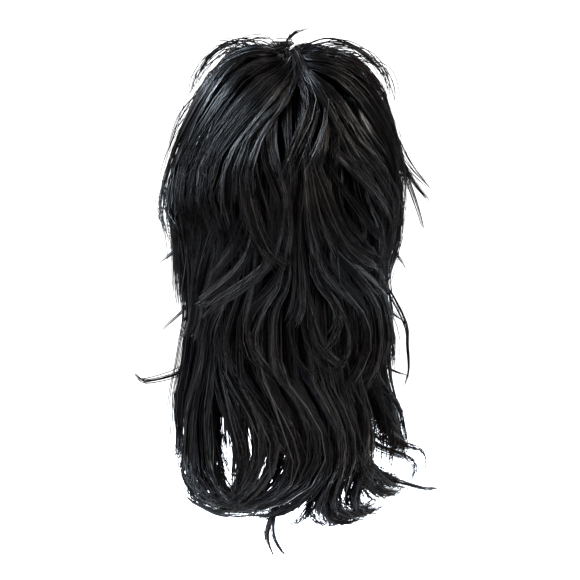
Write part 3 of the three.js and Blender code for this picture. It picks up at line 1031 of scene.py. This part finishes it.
@dataclass
class HairRow:
    """One row of hair as strands, in wisps that follow its guides and gather towards their tips."""

    row: Row
    finish: Material
    rng: np.random.Generator
    fall: Fall = Fall()

    def straight(self, angle: float) -> Array:
        """Gives a guide that hangs straight from an angle."""
        end = 0.5 * (self.row.short + self.row.long)
        return np.array([(angle, self.row.root), (angle, 0.5 * (self.row.root + end)), (angle, end)])

    def beside(self, path: Array, angle: float) -> Array:
        """Gives a guide that hangs beside another, and is calmer and shorter.

        Args:
            path: The other guide's places, as angle and run.
            angle: Where the new guide is sewn.

        Returns:
            Its places, as angle and run.
        """
        turned = self.row.calm * (path[:, 0] - path[0, 0])
        kept = 1 - self.row.trim * abs(angle - path[0, 0])
        return np.column_stack([angle + turned, path[0, 1] + kept * (path[:, 1] - path[0, 1])])

    def guides(self) -> Array:
        """Lays the row's guides, drawn ones and those past them.

        Returns:
            Even steps of angle and run for each, from the row's left end to its right.
        """
        row = self.row
        drawn = [VIEW.onto_hair(np.array(pixels)) for pixels in GUIDES.get(row.node, ())]
        paths = []
        for path in drawn:
            if path[0, 1] > row.root + ROOT_ROOM:
                path = np.vstack([(path[0, 0], row.root), path])
            paths.append(path)
        if not paths:
            paths = [self.straight(angle) for angle in np.linspace(row.start, row.end, STRAIGHT_GUIDES)]
        first, last = paths[0], paths[-1]
        if row.start < first[0, 0]:
            outer = np.linspace(row.start, first[0, 0], row.ends, endpoint=False)
            paths = [self.beside(first, angle) for angle in outer] + paths
        if last[0, 0] < row.end:
            outer = np.linspace(row.end, last[0, 0], row.ends, endpoint=False)[::-1]
            paths = paths + [self.beside(last, angle) for angle in outer]
        steps = []
        for path in paths:
            reach = np.linalg.norm(np.diff(path, axis=0) * (DEGREE_WIDTH, 1.0), axis=1)
            along = np.concatenate([[0.0], np.cumsum(reach)])
            steps.append(curve(along, path, np.linspace(0, along[-1], GUIDE_STEPS)))
        return np.array(steps)

    def lines(self, guides: Array, across: Array, pull: Array) -> Array:
        """Lays lines between guides.

        Args:
            guides: The row's guides.
            across: Where each line lies, counted in guides from the left.
            pull: How much it draws in to the nearer guide, from 0 to 1.

        Returns:
            Steps of angle and run for each line.
        """
        last = len(guides) - 2
        first = np.minimum(across.astype(int), last)
        side = (2 * (across - first) - 1)[:, None]
        edge = np.where((first == 0) | (first == last), self.fall.edge_clump, 1)
        along = smooth(*self.fall.clump_along, np.linspace(0, 1, GUIDE_STEPS))
        part = 0.5 + 0.5 * np.sign(side) * np.abs(side) ** (1 - np.outer(edge * pull, along))
        return guides[first] + (guides[first + 1] - guides[first]) * part[..., None]

    def wisps(self) -> Wisps:
        """Picks the row's loose wisps, and the locks that lie over them along drawn guides.

        Returns:
            The wisps, loose ones first.
        """
        row, fall, rng = self.row, self.fall, self.rng
        guides = self.guides()
        drawn = np.arange(len(guides)) if row.node in GUIDES else np.arange(0)
        loose = (np.arange(row.wisps) + rng.uniform(0, 1, row.wisps)) / row.wisps * (len(guides) - 1)
        tight = np.repeat(drawn, fall.locks) + rng.normal(0, fall.lock_scatter, len(drawn) * fall.locks)
        across = np.clip(np.concatenate([loose, tight]), 0, len(guides) - 1)
        total = len(across)
        lock = np.arange(total) >= row.wisps
        level = np.where(lock, rng.uniform(*LOCK.level, total), rng.uniform(*LOOSE.level, total))
        pull = np.where(lock, 0, row.clump * smooth(*fall.clump_levels, level))
        wave = np.clip(rng.normal(0, fall.wave_spread, total), -fall.wave_most, fall.wave_most)
        wave = np.where(lock, LOCK.wave, LOOSE.wave) * row.wave * wave
        bends = rng.uniform(*fall.bends, total) * (row.long - row.root) / fall.bend_length
        veer = np.clip(rng.normal(0, 1, total), -fall.veer_most, fall.veer_most)
        veer = np.where(lock, LOCK.veer, LOOSE.veer) * fall.veer * veer
        phase = rng.uniform(0, 1, total)
        lift = np.where(lock, rng.uniform(*fall.lock_lift, total), rng.normal(*fall.loose_lift, total))
        half = np.where(lock, LOCK.half, LOOSE.half) * row.half * rng.uniform(*fall.widths, total)
        under = rng.uniform(*LOOSE.length, total) - fall.deep_trim * (1 - smooth(*fall.deep_levels, level))
        length = np.where(lock, rng.uniform(*LOCK.length, total), under)
        shade = np.where(lock, rng.uniform(*LOCK.shade, total), rng.uniform(*LOOSE.shade, total))
        # Painted light: a row's even draws its wisps' shine together, set higher on the upper rows for the
        # softer light from above
        shade = shade + row.even * (fall.even_shade - shade)
        lines = self.lines(guides, across, pull)
        strands = np.where(lock, fall.lock_strands, row.strands)
        return Wisps(lines, strands, level, wave, bends, veer, phase, row.lift * lift, half, length, shade)

    def depth(self, angle: Array, run: Array, lie: Array, share: Array) -> Array:
        """Gives how deep in the hair strands lie, from their roots into their row and the parting.

        Args:
            angle: Degrees round from the middle of the back.
            run: Millimetres along the hair from the crown.
            lie: How high in the row, from 0 to 1.
            share: How far along the strand, from 0 to 1.

        Returns:
            The depth, 0 on the cap or the neck and 1 on the outline.
        """
        row, fall = self.row, self.fall
        inner, outer = SPACE.band(row, run)
        outer = outer + fall.bulge * (1 - outer)
        depth = row.rise + (inner + (outer - inner) * lie - row.rise) * smooth(*fall.rise_along, share)
        off_parting = np.abs((angle + 90) % 180 - 90)
        groove = (1 - smooth(*PARTING_HALF, off_parting)) * (1 - smooth(*PARTING_END, run))
        return depth * (1 - PARTING_DEPTH * groove)

    def strands(self, wisps: Wisps) -> Strands:
        """Lays the strands of wisps.

        Args:
            wisps: The wisps.

        Returns:
            The strands.
        """
        fall, rng = self.fall, self.rng
        wisp = wisps.owners()
        count = len(wisp)
        share = np.linspace(0, 1, self.row.points)[None, :]
        beside = rng.uniform(-1, 1, (count, 1))
        deep = rng.uniform(-1, 1, (count, 1))
        shorter = np.abs(beside) ** fall.point_power * rng.uniform(*fall.point_span, (count, 1))
        sway = rng.normal(0, fall.sway, (count, 1))
        sway = sway * np.sin(TURN * (share * fall.sway_turns + rng.uniform(0, 1, (count, 1))))
        cross = rng.normal(0, fall.crossing, (count, 1)) * share
        at = share * (1 - fall.point * shorter) * wisps.length[wisp] * (GUIDE_STEPS - 1)
        step = np.minimum(at.astype(int), GUIDE_STEPS - 2)
        here = wisps.lines[wisp, step]
        ahead = wisps.lines[wisp, step + 1] - here
        line = here + ahead * (at - step)[..., None]
        along = unit(ahead * (DEGREE_WIDTH, 1.0))
        gather = fall.gather * (fall.gather_deep + (1 - fall.gather_deep) * wisps.level[wisp])
        spread = wisps.half[wisp] * beside * (1 - gather * share ** fall.gather_power)
        bend = np.sin(TURN * (wisps.bends[wisp] * share + wisps.phase[wisp]))
        bend = wisps.wave[wisp] * bend * smooth(*fall.wave_along, share)
        offset = spread + (sway + cross) * share + bend + wisps.veer[wisp] * share ** fall.veer_power
        angle = line[..., 0] + along[..., 1] * offset / DEGREE_WIDTH
        run = np.maximum(line[..., 1] - along[..., 0] * offset, FIRST_RUN)
        lie = wisps.level[wisp] + fall.lie_spread * deep * (1 - fall.lie_even * share)
        lie = np.clip(lie, fall.lie_least, 1)
        stray = rng.uniform(0, 1, (count, 1)) < fall.strays
        stray = np.where(stray, rng.uniform(*fall.stray_lift, (count, 1)), 0)
        lift = wisps.lift[wisp] * smooth(*fall.lift_along, share)
        lift = lift + stray * np.sin(fall.stray_arch * math.pi * share)
        shade = wisps.shade[wisp][:, 0]
        tint = fall.tint_parts[0] * shade + fall.tint_parts[1] * rng.uniform(0, 1, count)
        radius = rng.uniform(*fall.radius, count) * MM
        gloss = np.clip(shade + rng.normal(0, fall.gloss_spread, count), 0, 1)
        points = SPACE.place(angle, run, self.depth(angle, run, lie, share), lift)
        return Strands(points, radius, tint, lie[:, 0], gloss)

    def flick(self, flick: Flick) -> Strands:
        """Lays the strands of one lock that leaves the outline.

        Args:
            flick: The lock.

        Returns:
            The strands.
        """
        fall, rng, count = self.fall, self.rng, flick.strands
        lying = np.array([len(place) == 2 for place in flick.path])
        angles, runs, lift = np.array([(*place, 0.0)[:3] for place in flick.path]).T
        parted = flick.loose * rng.normal(0, 1, (count, 2, 1))
        angle = angles + parted[:, 0] / DEGREE_WIDTH
        run = np.maximum(runs + parted[:, 1], FIRST_RUN)
        raised = lift + fall.flick_lift * flick.loose * rng.normal(0, 1, (count, 1))
        lift = np.maximum(raised, np.minimum(lift, 0)) * ~lying
        depth = np.where(lying, np.mean(SPACE.band(self.row, run), axis=0), 1.0)
        starts = rng.uniform(*fall.flick_starts, (count, 1))
        ends = rng.uniform(*fall.flick_ends, (count, 1))
        share = starts + (ends - starts) * np.linspace(0, 1, FLICK_POINTS)[None, :]
        line = through(SPACE.place(angle, run, depth, lift), share)
        spread = fall.flick_width * flick.wide * MM * (1 - fall.flick_taper * share ** fall.flick_power)
        offset = rng.normal(0, fall.flick_scatter, (count, 1, 3)) * spread[..., None]
        tint = rng.uniform(0, 1, count)
        radius = rng.uniform(*fall.radius, count) * MM
        shade = rng.uniform(*fall.flick_shade, count)
        return Strands(line + offset, radius, tint, np.ones(count), shade)

    def build(self) -> Object:
        """Makes the row's piece, in place of its solid."""
        batches = [self.strands(self.wisps())]
        batches.extend(self.flick(flick) for flick in FLICKS.get(self.row.node, ()))
        piece = strand_object(f"{self.row.node}_strands", batches)
        piece.data.materials.append(self.finish)
        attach(piece, BODY)
        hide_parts(self.row.node)
        return piece


@dataclass
class Cap:
    """The net cap: a thin dome, cut away over the face, the ears and the nape."""

    finish: Material
    sides: int = 100
    rings: int = 26
    weld: float = 1e-5

    def build(self) -> Object:
        """Makes the cap's piece, in place of its solid."""
        bm = bmesh.new()
        bmesh.ops.create_grid(bm, x_segments=self.sides, y_segments=self.rings, size=0.5)
        angles, downs = zip(*CAP_EDGE)
        for vert in bm.verts:
            angle = (vert.co.x + 0.5) * 360
            edge = float(np.interp(min(angle, 360 - angle), angles, downs))
            ring = HairSpace.head_ring(edge * (0.5 - vert.co.y), CAP_WALL)
            turn = math.radians(angle)
            vert.co = Vector((ring.left * math.sin(turn), -ring.back * math.cos(turn), ring.z)) * MM
        bmesh.ops.remove_doubles(bm, verts=bm.verts, dist=self.weld)
        bmesh.ops.recalc_face_normals(bm, faces=bm.faces)
        bmesh.ops.solidify(bm, geom=bm.faces[:], thickness=CAP_WALL * MM)
        piece = smooth_object("cap_net", bm, self.finish)
        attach(piece, BODY)
        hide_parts("cap")
        return piece


@dataclass(frozen=True)
class Lamp:
    """A soft square light: its place, what it faces, its side in metres, and its spread in degrees."""

    name: str
    place: Triple
    toward: Triple
    size: float
    watts: float
    beam: float
    colour: Triple

    def build(self) -> None:
        """Puts the light into the scene."""
        data = bpy.data.lights.new(self.name, "AREA")
        data.size = self.size
        data.energy = self.watts
        data.spread = math.radians(self.beam)
        data.color = self.colour
        lamp = add_object(self.name, data)
        lamp.location = self.place
        lamp.rotation_euler = (Vector(self.toward) - lamp.location).to_track_quat("-Z", "Y").to_euler()


CROWN = (0.0, 0.0, -0.05)
WALL = (0.0, 2.4, 0.2)
LAMPS = (
    Lamp("key_light", (-1.5, -0.55, 1.0), CROWN, 1.3, 54, 34, (0.74, 0.86, 1.0)),
    Lamp("fill_light", (1.6, -1.1, 0.6), CROWN, 1.2, 9, 40, (1.0, 0.93, 0.87)),
    Lamp("front_light", (0.9, 1.4, 0.7), CROWN, 1.0, 8, 40, (1.0, 0.97, 0.94)),
    Lamp("wall_light", (0.0, 0.7, 1.4), WALL, 2.0, 45, 130, (1.0, 1.0, 1.0)),
)


@dataclass
class Studio:
    """The pale sweep, the soft lights and the camera at the photo's angle, in metres."""

    finish: Material
    view: View = VIEW
    floor: float = -0.5
    half_width: float = 4.0
    near: float = -3.0
    far: float = 1.6
    cove: float = 0.8
    cove_steps: int = 16
    wall: float = 3.0
    sky: float = 0.35

    @staticmethod
    def pick(items: Iterable, kind: type) -> list:
        """Picks what is of one kind."""
        return [item for item in items if isinstance(item, kind)]

    def sweep(self) -> None:
        """Makes the floor, which curves up into a wall."""
        bm = bmesh.new()
        ends = [bm.verts.new((x, self.near, self.floor)) for x in (-self.half_width, self.half_width)]
        made = bmesh.ops.extrude_edge_only(bm, edges=[bm.edges.new(ends)])["geom"]
        verts = self.pick(made, bmesh.types.BMVert)
        bmesh.ops.translate(bm, verts=verts, vec=(0, self.far - self.near, 0))
        edges = self.pick(made, bmesh.types.BMEdge)
        edge = next(edge for edge in edges if set(edge.verts) == set(verts))
        hub = (0, self.far, self.floor + self.cove)
        turned = bmesh.ops.spin(bm, geom=[*verts, edge], cent=hub, axis=(1, 0, 0), angle=math.pi / 2,
                                steps=self.cove_steps, use_duplicate=False)["geom_last"]
        made = bmesh.ops.extrude_edge_only(bm, edges=self.pick(turned, bmesh.types.BMEdge))["geom"]
        bmesh.ops.translate(bm, verts=self.pick(made, bmesh.types.BMVert), vec=(0, 0, self.wall))
        bmesh.ops.recalc_face_normals(bm, faces=bm.faces)
        floor = smooth_object("floor", bm, self.finish)

    def camera(self) -> None:
        """Sets the camera at the photo's angle and distance."""
        data = bpy.data.cameras.new("camera")
        data.sensor_fit = "HORIZONTAL"
        data.angle = 2 * math.atan(self.view.frame_width / 2 / self.view.distance)
        eye = add_object("camera", data)
        into = Vector(self.view.axes()[0])
        eye.location = Vector(self.view.target) - into * self.view.distance
        eye.rotation_euler = into.to_track_quat("-Z", "Y").to_euler()
        bpy.context.scene.camera = eye

    def build(self) -> None:
        """Sets up the whole studio."""
        self.sweep()
        for lamp in LAMPS:
            lamp.build()
        self.camera()
        world = bpy.data.worlds.new("studio")
        world.use_nodes = True
        backing = next(node for node in world.node_tree.nodes if node.type == "BACKGROUND")
        backing.inputs["Color"].default_value = (1, 1, 1, 1)
        backing.inputs["Strength"].default_value = self.sky
        bpy.context.scene.world = world
        bpy.context.scene.view_settings.view_transform = "Standard"


def main() -> None:
    """Builds the wig and the studio."""
    logging.basicConfig(level=logging.INFO, format="%(message)s")
    Studio(PaleFinish().material()).build()
    hair = HairFinish().material()
    log.info("cap: %d faces", len(Cap(NetFinish().material()).build().data.polygons))
    for number, row in enumerate(ROWS):
        piece = HairRow(row, hair, np.random.default_rng(FIRST_SEED + number)).build()
        log.info("%s: %d faces", piece.name, len(piece.data.polygons))


if __name__ == "__main__":
    main()
